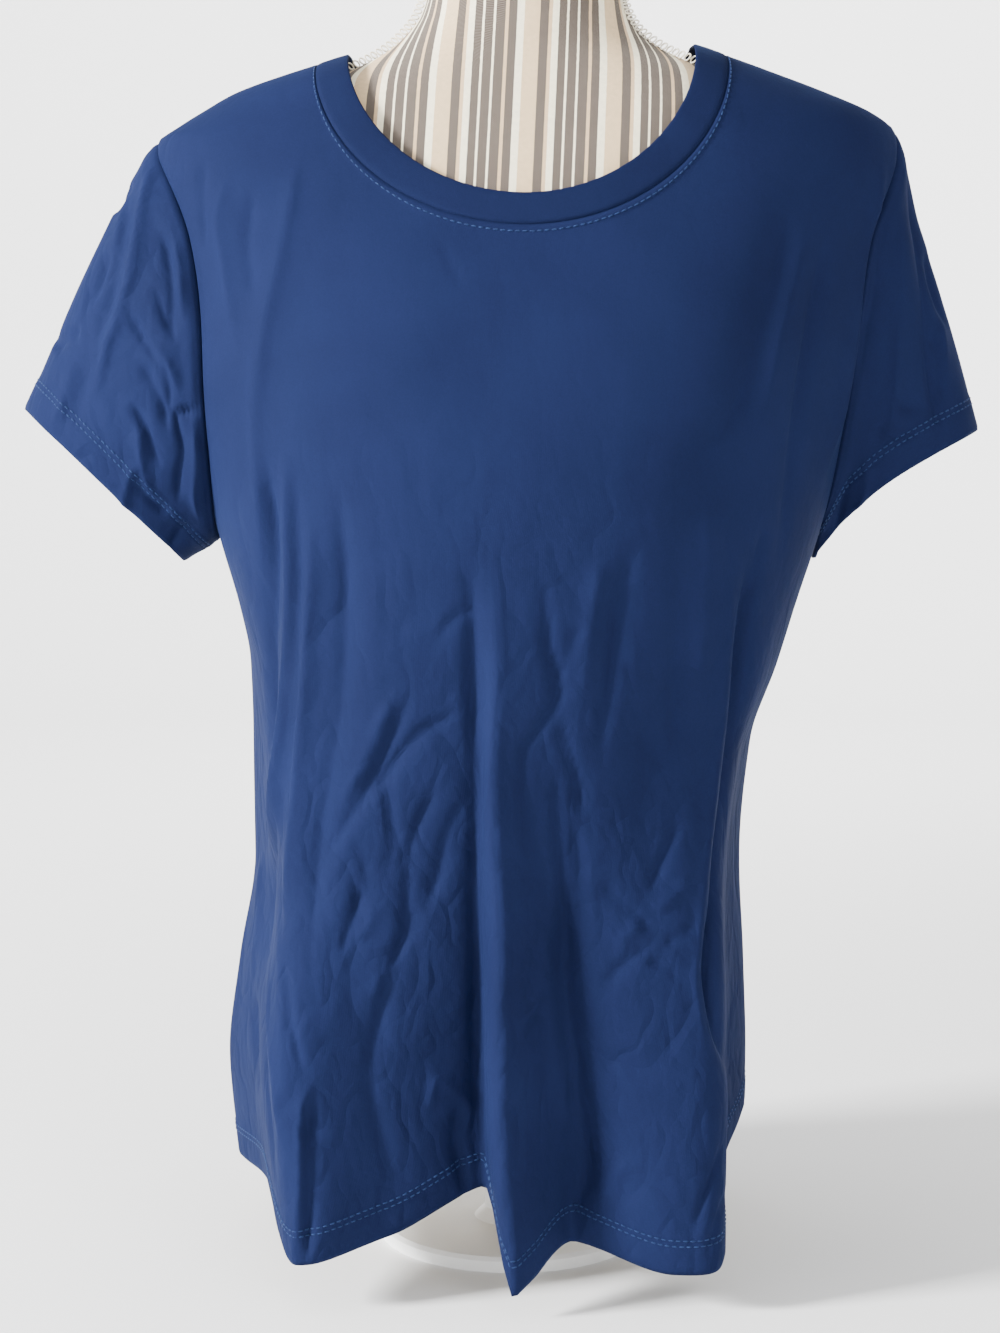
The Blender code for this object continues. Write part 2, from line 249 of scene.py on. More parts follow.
def climbs():
    # Rows of the chest, closer together at the underarm and the shoulder.
    t = np.linspace(0, 1, shirt["chestRows"] + 1)
    return 0.15 * t + 0.85 * (1 - np.cos(math.pi * t)) / 2


def panelColumns(counts):
    # Columns across a panel, with one exactly at each end of the neckline.
    edge, middle, side = shirt["neckAcross"], counts["middle"] + 1, counts["side"] + 1
    parts = [np.linspace(-1, -edge, side)[:-1], np.linspace(-edge, edge, middle)[:-1]]
    return np.concatenate(parts + [np.linspace(edge, 1, side)])


def panelGrid(face, folds, columns):
    order = np.arange(len(folds["across"]))
    fine = np.linspace(0, order[-1], 4000)
    place = np.interp(columns, curve(order, folds["across"], fine), fine)
    drops = 1 - np.arange(shirt["hemRows"]) / shirt["hemRows"]
    across, drop = np.meshgrid(columns, drops)
    skirt = hemPoint(face, folds, across, np.broadcast_to(place, across.shape), drop)
    across, climb = np.meshgrid(columns, climbs())
    return np.concatenate([skirt, chestPoint(face, across, climb)])


def normalsOf(grid, ring):
    # Outward normals of a grid whose rows run up and whose columns run to the wearer's left at the front.
    if ring:
        across = np.roll(grid, -1, 1) - np.roll(grid, 1, 1)
    else:
        across = np.gradient(grid, axis=1)
    normal = np.cross(across, np.gradient(grid, axis=0))
    return normal / np.maximum(np.linalg.norm(normal, axis=-1, keepdims=True), 1e-12)


def lengthsDown(grid):
    steps = np.linalg.norm(np.diff(grid, axis=0), axis=-1)
    return np.concatenate([np.zeros((1, grid.shape[1])), np.cumsum(steps, axis=0)])


def lengthsAlong(line):
    return np.concatenate([[0], np.cumsum(np.linalg.norm(np.diff(line, axis=0), axis=1))])


def pointAlong(line, lengths, length):
    return np.array([np.interp(length, lengths, line[:, k]) for k in range(3)])


def lengthsAcross(grid, ring):
    if ring:
        grid = np.concatenate([grid, grid[:, :1]], 1)
    steps = np.linalg.norm(np.diff(grid, axis=1), axis=-1)
    return np.concatenate([np.zeros((len(grid), 1)), np.cumsum(steps, axis=1)], 1)


def smoothPath(points, steps):
    # A line through all the points, rounded at each.
    points = np.array(points, float)
    padded = np.concatenate([2 * points[:1] - points[1:2], points, 2 * points[-1:] - points[-2:-1]])
    t = np.linspace(0, 1, steps + 1)[:-1, None]
    runs = []
    for a, b, c, d in zip(padded, padded[1:], padded[2:], padded[3:]):
        bend, twist = 2 * a - 5 * b + 4 * c - d, 3 * b - a - 3 * c + d
        runs.append(0.5 * (2 * b + (c - a) * t + bend * t**2 + twist * t**3))
    return np.concatenate(runs + [points[-1:]])


def nearPath(x, z, path):
    # For each point: how far the path is, how far along it that is from 0 to 1, and on which side.
    steps = np.linalg.norm(np.diff(path, axis=0), axis=1)
    starts = np.concatenate([[0], np.cumsum(steps)])
    best = np.full(x.shape, 1e9)
    along, side = np.zeros(x.shape), np.zeros(x.shape)
    for k, step in enumerate(steps):
        (ax, az), (dx, dz) = path[k], path[k + 1] - path[k]
        t = np.clip(((x - ax) * dx + (z - az) * dz) / step**2, 0, 1)
        offX, offZ = x - ax - t * dx, z - az - t * dz
        away = np.hypot(offX, offZ)
        closer = away < best
        best = np.where(closer, away, best)
        along = np.where(closer, (starts[k] + t * step) / starts[-1], along)
        side = np.where(closer, (dx * offZ - dz * offX) / step, side)
    return best, along, side


creaseStyle = {
    "gain": 1.5,  # how much deeper than its own number a crease is
    "fadeIn": 0.22,  # the share of its length over which it grows from nothing
    "fadeOut": 0.3,
    "thinnest": 2.3,  # in millimetres
    "sharp": 1.3,  # 2 is a round profile, and less is a sharper line
}


def creaseRows(text):
    # One crease to a row, which goes on after a comma: its depth and width, then the points of its path.
    kept = [line.strip() for line in text.strip().splitlines()]
    joined = "\n".join(line for line in kept if not line.startswith("#")).replace(",\n", ",")
    found = []
    for row in joined.splitlines():
        size, path = row.split(":")
        depth, width = map(float, size.split())
        found.append((depth, width, [tuple(map(float, point.split())) for point in path.split(",")]))
    return found


def creaseDepths(grid, creases):
    # How far each point moves out, in metres. A crease's depth is below 0 for a trough and above 0 for a
    # ridge, and its path is in millimetres as seen from the front.
    x, z = grid[..., 0] / mm, grid[..., 2] / mm
    moved = np.zeros(x.shape)
    for number, (depth, width, points) in enumerate(creases):
        path = smoothPath(points, 6)
        low, high = path.min(0) - 3.2 * width, path.max(0) + 3.2 * width
        near = (x > low[0]) & (x < high[0]) & (z > low[1]) & (z < high[1])
        if not near.any():
            continue
        away, along, side = nearPath(x[near], z[near], path)
        fade = smooth(along / creaseStyle["fadeIn"]) * smooth((1 - along) / creaseStyle["fadeOut"])
        swell = 1 + 0.18 * np.sin(5.1 * along + number)
        wide = np.maximum(0.75 * width * (0.6 + 0.4 * fade) * swell, creaseStyle["thinnest"])
        uneven = 1 + 0.22 * np.sin(8.7 * along + 1.7 * number)
        lean = 0.35 * math.sin(2.3 * number)
        profile = np.exp(-((away / wide) ** creaseStyle["sharp"])) * (1 + lean * np.tanh(side / wide))
        moved[near] += creaseStyle["gain"] * depth * mm * fade * uneven * profile
    return moved


def wavesOf(grid, tall, deep, offset):
    # Soft uneven waves in the cloth, longer up and down than across.
    size = Vector((1 / tall, 1 / tall, 0.4 / tall))
    flat = grid.reshape(-1, 3).tolist()
    waves = [noise.noise(Vector((x * size.x + offset, y * size.y, z * size.z))) for x, y, z in flat]
    return deep * np.array(waves).reshape(grid.shape[:2])


def makeActive(piece):
    bpy.ops.object.select_all(action="DESELECT")
    piece.select_set(True)
    bpy.context.view_layer.objects.active = piece


def newPiece(name, mesh, material):
    mesh.materials.append(material)
    mesh.shade_smooth()
    mesh.update()
    piece = bpy.data.objects.new(name, mesh)
    bpy.context.scene.collection.objects.link(piece)
    return piece


def joinedPiece(name, points, faces, material):
    # Many small closed shapes as one piece, with its faces turned outwards.
    mesh = bpy.data.meshes.new(name)
    mesh.from_pydata([tuple(point) for point in points], [], faces)
    piece = newPiece(name, mesh, material)
    makeActive(piece)
    bpy.ops.object.mode_set(mode="EDIT")
    bpy.ops.mesh.select_all(action="SELECT")
    bpy.ops.mesh.normals_make_consistent(inside=False)
    bpy.ops.object.mode_set(mode="OBJECT")
    return piece


def gridPiece(name, grid, ring, uv, material, caps=False, loop=False):
    # Faces between the rows of a grid. ring closes it round, and loop joins its last row to its first.
    rows, cols = grid.shape[:2]
    spans = np.arange(rows if loop else rows - 1), np.arange(cols if ring else cols - 1)
    r, c = np.meshgrid(*spans, indexing="ij")
    r, c = r.ravel(), c.ravel()
    nextR, nextC = (r + 1) % rows, (c + 1) % cols
    faces = np.stack([r * cols + c, r * cols + nextC, nextR * cols + nextC, nextR * cols + c], 1).tolist()
    if caps:
        faces += [list(range(cols))[::-1], list(range((rows - 1) * cols, rows * cols))]
    mesh = bpy.data.meshes.new(name)
    mesh.from_pydata(grid.reshape(-1, 3).tolist(), [], faces)
    layer = mesh.uv_layers.new(name="UVMap")
    corners = np.stack([uv[r, c], uv[r, c + 1], uv[r + 1, c + 1], uv[r + 1, c]], 1).reshape(-1, 2)
    if caps:
        corners = np.concatenate([corners, uv[0, :cols][::-1], uv[-1, :cols]])
    layer.data.foreach_set("uv", corners.astype(np.float32).ravel())
    return newPiece(name, mesh, material)


def thicken(piece, thick, doubled):
    # The wall goes inwards. doubled is 1 where the cloth is turned up, and the wall is two layers there.
    group = piece.vertex_groups.new(name="doubled")
    weights = np.round(0.5 + 0.5 * doubled.ravel(), 2)
    for weight in np.unique(weights):
        group.add(np.flatnonzero(weights == weight).tolist(), float(weight), "REPLACE")
    wall = piece.modifiers.new("wall", "SOLIDIFY")
    wall.thickness = 2 * thick
    wall.offset = -1
    wall.vertex_group = group.name
    makeActive(piece)
    bpy.ops.object.modifier_apply(modifier=wall.name)
    piece.vertex_groups.clear()


sewn = {
    "hemProud": 0.45 * mm,
    "rowDip": 0.5 * mm,
    "rowWide": 0.7 * mm,
    "edgeRoll": 0.6 * mm,
    "edgeWide": 1.2 * mm,
    "seamDip": 0.7 * mm,
    "seamWide": 1.1 * mm,
    "besideSeam": 0.35 * mm,
}


def hemShape(fromEdge):
    # The turned-up hem stands a little proud, two needle rows pull it in, and its edge is rounded.
    deep = shirt["hemDeep"]
    proud = sewn["hemProud"] * smooth((deep + 2 * mm - fromEdge) / (1.5 * mm))
    for row in (deep, deep - shirt["rowGap"]):
        proud -= sewn["rowDip"] * np.exp(-(((fromEdge - row) / sewn["rowWide"]) ** 2))
    return proud - sewn["edgeRoll"] * np.exp(-((fromEdge / sewn["edgeWide"]) ** 2))


def seamShape(fromSeam):
    # Cloth dips into a seam and stands a little proud beside it.
    dip = -sewn["seamDip"] * np.exp(-((fromSeam / sewn["seamWide"]) ** 2))
    return dip + sewn["besideSeam"] * np.exp(-(((fromSeam - 3.2 * mm) / (1.8 * mm)) ** 2))


def rowAt(grid, lengths, fromEdge):
    # The line across a grid this far up from its first row.
    line = []
    for column in range(grid.shape[1]):
        line.append([np.interp(fromEdge, lengths[:, column], grid[:, column, k]) for k in range(3)])
    return np.array(line)


def newMaterial(name, roughness, specular=0.5, sheen=0.0, sheenRough=0.5, sheenTint=(1, 1, 1)):
    made = bpy.data.materials.new(name)
    made.use_nodes = True
    shader = made.node_tree.nodes["Principled BSDF"]
    shader.inputs["Roughness"].default_value = roughness
    shader.inputs["Specular IOR Level"].default_value = specular
    shader.inputs["Sheen Weight"].default_value = sheen
    shader.inputs["Sheen Roughness"].default_value = sheenRough
    shader.inputs["Sheen Tint"].default_value = (*sheenTint, 1)
    return made, shader


def addNode(made, kind, values=None, **settings):
    node = made.node_tree.nodes.new(kind)
    for key, value in settings.items():
        setattr(node, key, value)
    for socket, value in (values or {}).items():
        if isinstance(value, bpy.types.NodeSocket):
            made.node_tree.links.new(value, node.inputs[socket])
        else:
            node.inputs[socket].default_value = value
    return node


def doMath(made, operation, a, b=0.0):
    return addNode(made, "ShaderNodeMath", {0: a, 1: b}, operation=operation).outputs[0]


def mixColours(made, factor, a, b):
    mix = addNode(made, "ShaderNodeMix", {"Factor": factor}, data_type="RGBA")
    for socket, value in ((6, a), (7, b)):
        if isinstance(value, bpy.types.NodeSocket):
            made.node_tree.links.new(value, mix.inputs[socket])
        else:
            mix.inputs[socket].default_value = (*value, 1)
    return mix.outputs[2]


def rampOf(made, factor, stops, interpolation="LINEAR"):
    ramp = addNode(made, "ShaderNodeValToRGB", {"Fac": factor})
    ramp.color_ramp.interpolation = interpolation
    points = ramp.color_ramp.elements
    while len(points) < len(stops):
        points.new(1.0)
    for point, (place, colour) in zip(points, stops):
        point.position = place
        point.color = (*colour, 1)
    return ramp.outputs[0]


def noiseOn(made, place, scale, detail=2.0):
    values = {"Vector": place, "Scale": scale, "Detail": detail}
    return addNode(made, "ShaderNodeTexNoise", values).outputs["Fac"]


def rangeOf(made, value, start, end):
    # Turns the run of values in start into the run in end.
    values = {"Value": value, "From Min": start[0], "From Max": start[1], "To Min": end[0], "To Max": end[1]}
    return addNode(made, "ShaderNodeMapRange", values).outputs[0]


def plugIn(made, output, shader, socket):
    made.node_tree.links.new(output, shader.inputs[socket])


def addBump(made, shader, height, strength, distance, under=None):
    values = {"Height": height, "Strength": strength, "Distance": distance}
    if under is not None:
        values["Normal"] = under
    plugIn(made, addNode(made, "ShaderNodeBump", values).outputs[0], shader, "Normal")


jersey = {
    "colour": (0.0052, 0.0086, 0.0325),
    "light": (0.0078, 0.0126, 0.0450),
    "wale": 0.9 * mm,  # columns of knit loops
    "course": 0.7 * mm,  # rows of knit loops
    "loopHigh": 0.07 * mm,
    # small worn-in wrinkles: how many to a metre, how thin and how high
    "wrinkles": [(19.0, 0.075, 1.5 * mm), (44.0, 0.09, 0.75 * mm), (105.0, 0.16, 0.3 * mm)],
    "wrinklesFrom": (470 * mm, 270 * mm),  # heights between which the wrinkles of the skirt begin
    "sleeveFrom": (-160 * mm, -190 * mm),  # and how far across those of the right sleeve begin
}


def jerseyMaterial(name, darker=1.0):
    # Fine single knit: columns of small V loops on the piece's own flat pattern, in metres.
    made, shader = newMaterial(
        name, 0.8, specular=0.03, sheen=0.035, sheenRough=0.35, sheenTint=(0.20, 0.40, 1.0)
    )
    flat = addNode(made, "ShaderNodeUVMap", uv_map="UVMap").outputs[0]
    place = addNode(made, "ShaderNodeTexCoord").outputs["Object"]
    split = addNode(made, "ShaderNodeSeparateXYZ", {0: flat}).outputs
    wale = doMath(made, "DIVIDE", split[0], jersey["wale"])
    course = doMath(made, "DIVIDE", split[1], jersey["course"])
    lean = doMath(made, "PINGPONG", wale, 0.5)
    turn = doMath(made, "MULTIPLY", doMath(made, "ADD", course, lean), 2 * math.pi)
    rows = doMath(made, "SINE", turn)
    column = doMath(made, "ABSOLUTE", doMath(made, "SINE", doMath(made, "MULTIPLY", wale, math.pi)))
    height = doMath(made, "ADD", doMath(made, "MULTIPLY", rows, 0.3), column)
    tone = noiseOn(made, place, 14.0, 3.0)
    fleck = doMath(made, "MULTIPLY", noiseOn(made, place, 1100.0, 1.0), 0.45)
    blend = doMath(made, "ADD", doMath(made, "MULTIPLY", tone, 0.75), fleck)
    dark = tuple(darker * value for value in jersey["colour"])
    light = tuple(darker * value for value in jersey["light"])
    plugIn(made, rampOf(made, blend, [(0.35, dark), (0.78, light)]), shader, "Base Color")
    plugIn(made, rangeOf(made, tone, (0, 1), (0.72, 0.84)), shader, "Roughness")
    # The wrinkles are thin lines where a noise crosses its middle, mostly in the skirt and one sleeve.
    spread = addNode(made, "ShaderNodeMapping", {"Vector": place, "Scale": (1.0, 1.0, 0.62)}).outputs[0]
    where = addNode(made, "ShaderNodeSeparateXYZ", {0: place}).outputs
    low = rangeOf(made, where[2], jersey["wrinklesFrom"], (0.12, 1.0))
    beside = rangeOf(made, where[0], jersey["sleeveFrom"], (0.0, 0.9))
    amount = doMath(made, "MAXIMUM", low, beside)
    under = {}
    for scale, thin, high in jersey["wrinkles"]:
        line = doMath(made, "SUBTRACT", noiseOn(made, spread, scale, 1.5), 0.5)
        line = doMath(made, "DIVIDE", doMath(made, "ABSOLUTE", line), thin)
        line = doMath(made, "MULTIPLY", doMath(made, "MINIMUM", line, 1.0), amount)
        values = {"Height": line, "Strength": 0.55, "Distance": high, **under}
        under = {"Normal": addNode(made, "ShaderNodeBump", values).outputs[0]}
    nap = {"Height": noiseOn(made, place, 260.0, 4.0), "Strength": 0.35, "Distance": 0.4 * mm, **under}
    soft = addNode(made, "ShaderNodeBump", nap)
    addBump(made, shader, height, 0.35, jersey["loopHigh"], soft.outputs[0])
    return made


navyJersey = jerseyMaterial("navyJersey")
bandJersey = jerseyMaterial("bandJersey", 0.86)

threadMaterial, threadShader = newMaterial(
    "navyThread", 0.6, specular=0.12, sheen=0.1, sheenRough=0.4, sheenTint=(0.4, 0.6, 1.0)
)
threadPlace = addNode(threadMaterial, "ShaderNodeTexCoord").outputs["Object"]
threadTone = noiseOn(threadMaterial, threadPlace, 700.0)
threadColours = [(0.3, (0.006, 0.015, 0.055)), (0.7, (0.016, 0.036, 0.105))]
plugIn(threadMaterial, rampOf(threadMaterial, threadTone, threadColours), threadShader, "Base Color")
addBump(threadMaterial, threadShader, threadTone, 0.4, 0.1 * mm)

# A panel's or sleeve's waves are soft and uneven: how long, how deep, and where in the noise they are read.
frontPanel = {
    "columns": {"middle": 118, "side": 38},
    "flat": (0.61, 0.69),
    "area": 0.27,
    "waves": [(0.045, 0.9 * mm, 3.0), (0.016, 0.28 * mm, 11.0)],
    "creases": creaseRows("""
        # soft folds that drop from the right armhole
        -4.2 6: -125 440, -125 380, -127 320, -130 262
        3.0 6: -116 445, -115 380, -117 330, -120 290, -127 240, -134 200
        -1.4 3.5: -110 432, -109 380, -112 320
        2.4 6: -103 420, -103 370, -106 320, -111 270, -116 225, -120 180, -119 130
        -2.4 8: -88 430, -86 370, -88 320, -94 280, -101 235, -103 200, -105 160
        1.5 7: -109 592, -115 555, -120 530, -126 500, -130 450
        1.2 4.5: -146 585, -153 560, -150 540, -146 515, -139 480
        -1.2 5: -133 575, -136 545, -131 510
        -1.0 4: -160 592, -161 570, -160 540
        1.6 8: -131 500, -133 460, -131 420, -132 370
        # long creases across the waist
        -1.9 4.5: -49 321, -58 303, -66 285, -78 262, -90 243, -103 219
        1.3 5: -58 322, -68 300, -77 280, -90 260
        -1.7 3: -26 314, -35 306, -47 299, -58 286, -68 272, -76 260
        -1.1 2.5: -40 341, -34 353, -27 360, -17 364
        -1.4 2.6: -65 274, -63 255, -62 240, -66 217
        -1.6 4: -36 276, -45 258, -52 240, -54 220, -55 200, -60 186
        -1.3 4: -20 270, -27 259, -34 243, -39 222, -46 200
        -1.0 5: -84 245, -78 235, -76 218, -74 204
        -2.0 4: -78 220, -80 208, -84 196, -88 181
        1.0 2.4: -70 210, -74 198, -81 189
        -2.0 4.5: -50 210, -54 196, -60 184, -63 172
        1.0 3: -63 176, -69 168, -72 158
        -2.0 8: -61 184, -66 160, -72 135, -72 110, -66 85, -58 55
        # the centre fold
        -3.0 4.5: -22 400, -21 340, -20 300, -19 260, -20 220, -19 180, -19 140, -18 100, -15 50
        2.0 6: -9 405, -8 350, -9 300, -11 260, -12 220, -11 180, -10 140, -9 100, -5 20
        -1.7 3: 13 390, 16 360, 17 345, 21 330, 22 319, 17 308, 8 296, 5 288, 5 270, 8 240, 12 215
        -0.9 2.6: 33 356, 28 340, 23 326
        -1.6 3: 23 312, 25 300, 28 290, 32 278, 34 264, 37 248
        -1.9 3.5: 26 286, 22 272, 22 250, 24 230, 26 210, 27 192
        -1.5 3.5: 30 256, 33 235, 34 215, 36 190
        -7.0 8: 25 232, 26 205, 27 170, 29 140, 31 115, 34 90, 35 68, 32 48, 30 12
        1.3 4: 18 200, 19 170, 23 135, 27 105, 29 70
        1.1 3: 17 165, 8 156, 0 150
        -1.0 2.5: 16 160, 11 150, 7 141
        1.0 2.2: -4 146, -9 134, -13 122
        1.4 3.5: -2 124, -7 112, -8 92, -5 60, -3 25
        0.9 2.2: -40 122, -42 110, -42 100
        1.0 2.6: -40 120, -30 110, -22 102, -15 92
        -2.4 4: -28 104, -29 85, -27 70, -24 50
        # the left half
        -2.4 5: 59 400, 54 370, 50 345, 47 320, 44 300, 43 278
        1.2 6: 45 392, 40 360, 36 330, 33 305
        -1.2 2.6: 42 224, 52 215, 60 208, 68 200, 76 194
        -1.4 3: 84 254, 80 242, 74 230, 68 214
        -1.3 3: 44 166, 52 178, 60 184, 68 190, 75 194
        -1.2 2.5: 66 183, 75 180, 86 173
        -1.0 2.5: 76 189, 86 196, 97 201
        1.0 4: 52 190, 60 198, 66 206
        1.0 5: 70 206, 82 214, 92 222
        -1.0 4: 62 300, 70 288, 78 276
        1.2 6: 97 418, 99 380, 96 345, 93 305
        -1.3 5: 84 395, 82 350, 81 310, 83 275
        1.5 5: 113 400, 110 340, 107 300, 103 260, 99 225, 95 190, 94 168, 98 145, 104 118
        -5.0 5: 122 400, 118 340, 115 300, 111 265, 107 235, 105 210, 102 190, 101 170, 105 145, 111 125,
            116 100
        0.9 5: 46 56, 55 72, 68 83
        -1.6 3: 110 92, 101 70, 95 55, 91 40
        -0.9 2.6: 110 64, 102 45, 98 30
        # soft folds that drop from the left shoulder
        -2.2 9: 143 566, 134 530, 126 505, 120 485, 112 460, 100 445, 84 434
        1.2 6: 152 560, 144 525, 137 500, 130 470, 124 440
        -2.3 6: 164 562, 156 525, 152 500, 147 470, 143 440, 140 410, 135 370
        -1.4 3: 129 404, 124 375, 121 350
        3.0 6: 196 596, 190 560, 184 530, 178 500, 172 470, 166 440, 160 412
        -0.5 2.5: -38 548, -30 530, -23 518
        # the corner of the right flap and the pleats beside it
        1.6 3: -98 126, -106 112, -108 95, -108 70, -110 40, -112 10
        -2.8 4.5: -101 118, -104 100, -104 60, -106 20
        -1.8 2.6: -122 250, -126 222, -130 190, -135 150
        -2.0 2.4: -132 172, -131 140, -128 105, -124 80, -121 60
        1.3 2.6: -127 178, -126 145, -122 112, -117 80
        -1.7 2.4: -118 180, -115 155, -111 137, -105 120
        -1.3 2.2: -121 232, -119 205, -119 180
        -1.5 2.4: -139 150, -139 120, -134 90
        1.2 3: -136 220, -139 180, -142 145
    """),
}

# The back hangs in broad soft folds of its own.
backPanel = {
    "columns": {"middle": 86, "side": 34},
    "flat": (0.51, 0.67),
    "area": 0.25,
    "waves": [(0.055, 1.1 * mm, 23.0), (0.018, 0.3 * mm, 31.0)],
    "creases": creaseRows("""
        -1.8 9: -140 520, -128 470, -122 420, -124 370, -120 310
        1.6 8: -118 500, -108 440, -104 380, -106 320, -112 250
        -2.2 7: -92 420, -88 360, -84 300, -88 240, -92 180
        -1.4 4: -60 400, -70 372, -86 350, -104 338
        -2.6 8: -46 380, -44 320, -40 260, -44 190, -52 120
        1.8 7: -24 400, -20 330, -16 260, -14 180, -12 90
        -2.0 4: -6 330, 4 296, 2 262, 8 225
        -1.5 3: 24 372, 16 348, 2 336
        -2.8 8: 30 390, 34 330, 38 260, 42 190, 48 110
        1.8 7: 60 410, 62 340, 66 270, 72 190
        -1.5 4: 96 398, 84 372, 74 340, 70 312
        -2.3 7: 88 360, 92 300, 90 240, 98 170, 104 110
        1.5 6: 118 470, 112 410, 112 350, 108 290
        -1.9 8: 150 540, 140 480, 132 430, 130 380, 122 320
        -1.2 9: -60 590, -64 540, -72 490
        -1.2 9: 78 590, 84 545, 90 500
        -1.3 3: -70 210, -62 196, -50 190
        -1.3 3: 58 232, 66 214, 80 206
        -1.2 2.6: -28 246, -20 228, -22 206
    """),
}


def makePanel(name, face, folds, panel, material):
    columns = panelColumns(panel["columns"])
    grid = panelGrid(face, folds, columns)
    up, across = lengthsDown(grid), lengthsAcross(grid, False)
    uv = np.stack([across - across[:, -1:] / 2, up], -1)
    order = slice(None, None, 1 if face == "front" else -1)  # so that the rows run the same way round
    normal = normalsOf(grid[:, order], False)[:, order]
    moved = creaseDepths(grid, panel["creases"])
    calm = 0.3 + 0.7 * smooth((440 * mm - grid[..., 2]) / (120 * mm))  # the chest is smoother
    for tall, deep, offset in panel["waves"]:
        moved += wavesOf(grid, tall, deep, offset) * calm
    fromSide = np.minimum(across, across[:, -1:] - across)
    fromTop = up[-1] - up
    moved *= smooth(np.minimum(fromSide, fromTop) / (7 * mm))  # calm beside the seams
    moved += seamShape(fromSide) + seamShape(fromTop) + hemShape(up)
    grid = grid + normal * moved[..., None]
    piece = gridPiece(name, grid[:, order], False, uv[:, order], material)
    thicken(piece, shirt["clothThick"], smooth((shirt["hemDeep"] + 2 * mm - up) / (1 * mm))[:, order])
    print(name, "width", round(float(across[:, -1].max()), 3), "length", round(float(up[-1].max()), 3))
    return piece, grid, up


front, frontGrid, frontUp = makePanel("frontCloth", "front", frontFolds, frontPanel, navyJersey)
back, backGrid, backUp = makePanel("backCloth", "back", backFolds, backPanel, navyJersey)
print("stage: panels")

sleeveWaves = [(0.03, 0.9 * mm, 41.0), (0.013, 0.3 * mm, 47.0)]

# Each cuff is a ring: its middle, the way to its top, the way to its front, and how its lowest part sags.
sleeves = {
    "right": {
        "name": "sleeveRight",
        "middle": (-224, 2, 419.5),
        "top": (-43, 0, 41.5),
        "front": (9, -40, -2),
        "sag": (0, 0, 0),
        "bulge": 7 * mm,
        "flat": (0.42, 0.19),
        "area": 0.043,
        "creases": creaseRows("""
            2.6 4: -183 596, -190 586, -194 570, -198 550, -202 530, -207 513, -213 498, -218 482, -222 462
            -1.6 6: -203 572, -208 545, -214 520, -222 498
            -1.8 4: -214 548, -218 534, -223 522, -228 512
            1.2 4: -206 568, -210 552, -213 536
            -2.0 3.5: -184 556, -180 536, -178 520, -179 505, -174 492
            1.3 3.5: -176 552, -173 528, -172 505
            -1.3 3: -188 526, -183 508, -177 496
            -1.6 2.8: -202 510, -194 497, -185 485
            -1.8 5: -198 486, -190 476, -184 462, -182 446
            1.4 4: -190 496, -180 484, -175 470
            -1.9 3: -202 466, -194 452, -190 440, -186 428
            -2.2 2.6: -160 464, -171 460, -177 458, -176 450, -174 440, -177 425, -179 408
            1.6 4: -168 455, -168 436, -170 415, -168 398
            -1.4 3: -182 486, -180 470, -181 456
            1.4 4: -198 456, -196 430, -191 412
            1.8 5: -210 400, -205 420, -198 436
            -1.5 3: -203 424, -192 412, -180 403
            -1.8 3.5: -186 384, -178 395, -170 400
            -2.0 4: -218 566, -209 575, -202 582
            -2.2 5: -250 494, -240 499, -230 506
            1.3 7: -236 486, -240 468, -246 450
            -1.0 7: -226 492, -230 470, -234 450
        """),
    },
    "left": {
        "name": "sleeveLeft",
        "middle": (214, 4, 427),
        "top": (41, -1, 22.5),
        "front": (1, -38, 4),
        "sag": (-6, 12, -26),
        "bulge": 1 * mm,
        "flat": (0.42, 0.18),
        "area": 0.032,
        "creases": creaseRows("""
            -2.6 5: 208 590, 215 562, 219 530, 221 500, 225 470, 229 436
            1.5 8: 204 575, 206 540, 204 500, 202 460, 198 430
            -2.2 3: 222 548, 227 526, 234 503
            1.3 4: 228 512, 231 492, 232 468
            -1.5 3.5: 224 505, 228 485, 229 462
            -1.6 5: 196 565, 192 530, 187 500, 182 470
            -1.2 3: 196 470, 208 462, 222 460
            -1.3 3: 190 450, 203 446, 214 450
            1.2 4: 188 436, 190 420, 186 402
            -1.6 4: 182 430, 178 410, 176 390
        """),
    },
}


def sleeveGrid(side, cuff):
    # Rings from the armhole to the cuff, each from the top round by the front.
    half = shirt["chestRows"]
    around = 2 * half
    ladder = climbs()
    climb = np.concatenate([ladder[::-1], ladder[1:-1]])
    turn = math.pi - np.arccos(1 - 2 * climb)
    turn[half + 1 :] = 2 * math.pi - turn[half + 1 :]
    across = np.full(around, 1.0 if side == "left" else -1.0)
    start = []
    for face, part in (("front", slice(0, half + 1)), ("back", slice(half + 1, around))):
        angle, height = armholeEdge(face, across[part], climb[part])
        start.append(sectionPoint(bodySections, face, angle, height))
    start = np.concatenate(start)
    lowness = ((1 - np.cos(turn)) / 2) ** 6
    shares = {"middle": 1 + 0 * turn, "top": np.cos(turn), "front": np.sin(turn), "sag": lowness}
    end = sum(np.array(cuff[key])[None] * share[:, None] for key, share in shares.items())
    down = np.linspace(0, 1, shirt["sleeveRows"])[:, None, None]
    grid = start + (end * mm - start) * down
    centre = grid.mean(1, keepdims=True)
    out = (grid - centre) / np.linalg.norm(grid - centre, axis=-1, keepdims=True)
    share = ((1 + np.cos(turn)) / 2)[None, :, None]
    # The top stands out by the whole bulge a third of the way down.
    return grid + out * cuff["bulge"] * 6.75 * down * (1 - down) ** 2 * share


